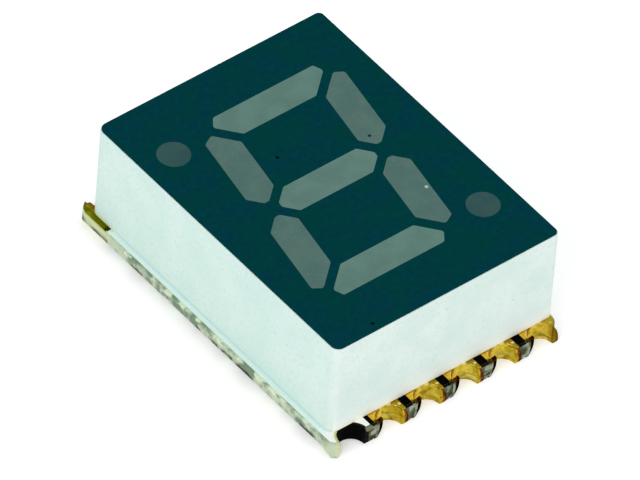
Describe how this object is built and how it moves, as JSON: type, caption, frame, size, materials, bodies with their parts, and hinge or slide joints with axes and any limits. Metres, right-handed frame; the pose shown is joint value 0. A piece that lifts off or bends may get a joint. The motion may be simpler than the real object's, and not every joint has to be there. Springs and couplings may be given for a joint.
{
  "type": "seven segment display",
  "caption": "Surface-mount seven segment display: a white reflector block with a dark face, slanted grey segments and round decimal points, on a thin board with plated half-hole terminals.",
  "frame": {"origin": "middle of the underside, in the plane of the solder lands", "axes": "+X to the digit's right, +Y to the digit's top, +Z out of the lit face"},
  "size_m": [0.0076, 0.0108, 0.0037],
  "materials": {
    "white_plastic": "moulded white, slightly cool",
    "face_print": "matt printed dark teal",
    "resin": "cast resin, grey-green when unlit",
    "dot_resin": "cast resin, darker over the small wells",
    "laminate": "cut glass-cloth laminate",
    "black_lacquer": "black lacquer",
    "white_ink": "white ink",
    "gold": "thin gold over copper",
    "chip_crystal": "sawn crystal",
    "chip_glue": "silver-filled glue"
  },
  "bodies": {
    "root": {"reflector_block": "white_plastic", "face_print": "face_print", "resin_a": "resin", "resin_b": "resin", "resin_c": "resin", "resin_d": "resin", "resin_e": "resin", "resin_f": "resin", "resin_g": "resin", "resin_dot_left": "dot_resin", "resin_dot_right": "dot_resin", "chip_a": "chip_crystal", "chip_b": "chip_crystal", "chip_c": "chip_crystal", "chip_d": "chip_crystal", "chip_e": "chip_crystal", "chip_f": "chip_crystal", "chip_g": "chip_crystal", "chip_dot_left": "chip_crystal", "chip_dot_right": "chip_crystal", "chip_glue_a": "chip_glue", "chip_glue_b": "chip_glue", "chip_glue_c": "chip_glue", "chip_glue_d": "chip_glue", "chip_glue_e": "chip_glue", "chip_glue_f": "chip_glue", "chip_glue_g": "chip_glue", "chip_glue_dot_left": "chip_glue", "chip_glue_dot_right": "chip_glue", "bond_wire_a": "gold", "bond_wire_b": "gold", "bond_wire_c": "gold", "bond_wire_d": "gold", "bond_wire_e": "gold", "bond_wire_f": "gold", "bond_wire_g": "gold", "bond_wire_dot_left": "gold", "bond_wire_dot_right": "gold", "board_laminate": "laminate", "black_lacquer": "black_lacquer", "white_ink": "white_ink", "under_lacquer": "black_lacquer", "terminal_1": "gold", "terminal_2": "gold", "terminal_3": "gold", "terminal_4": "gold", "terminal_5": "gold", "terminal_6": "gold", "terminal_7": "gold", "terminal_8": "gold", "terminal_9": "gold", "terminal_10": "gold"}
  },
  "joints": []
}
